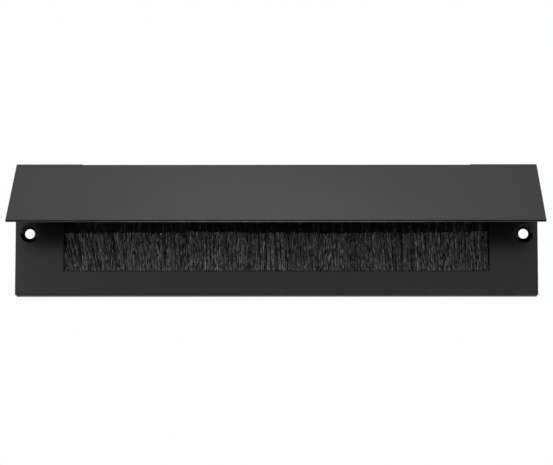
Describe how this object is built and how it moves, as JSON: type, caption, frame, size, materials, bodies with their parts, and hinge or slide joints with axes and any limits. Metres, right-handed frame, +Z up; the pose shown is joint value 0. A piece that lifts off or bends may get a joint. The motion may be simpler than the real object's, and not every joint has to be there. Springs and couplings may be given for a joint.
{
  "type": "letterbox draught excluder",
  "caption": "Letterbox draught excluder for the inside of a door: a long slotted plate with facing strip brushes and a full-width flap hinged along its top.",
  "frame": {"origin": "midway between the two screw holes, on the rear face of the plate's web", "axes": "+X along the plate to the right as seen from inside the room, +Y into the door, +Z up"},
  "size_m": [0.305, 0.0706, 0.0769],
  "materials": {
    "plate_coat": "satin",
    "flap_coat": "satin",
    "rod_steel": "satin",
    "channel_steel": "satin",
    "wire_steel": "satin",
    "filament": "satin"
  },
  "bodies": {
    "base": {"base_plate": "plate_coat", "hinge_rod": "rod_steel", "lower_brush_channel": "channel_steel", "lower_brush_wire": "wire_steel", "lower_bristles": "filament", "upper_brush_channel": "channel_steel", "upper_brush_wire": "wire_steel", "upper_bristles": "filament"},
    "flap": {"flap": "flap_coat"}
  },
  "joints": [
    {"name": "flap_hinge", "type": "hinge", "parent": "base", "child": "flap", "pos_m": [0, 0.00005, 0.0365], "axis": [-1, 0, 0], "range_deg": [-55.6, 49.4]}
  ]
}
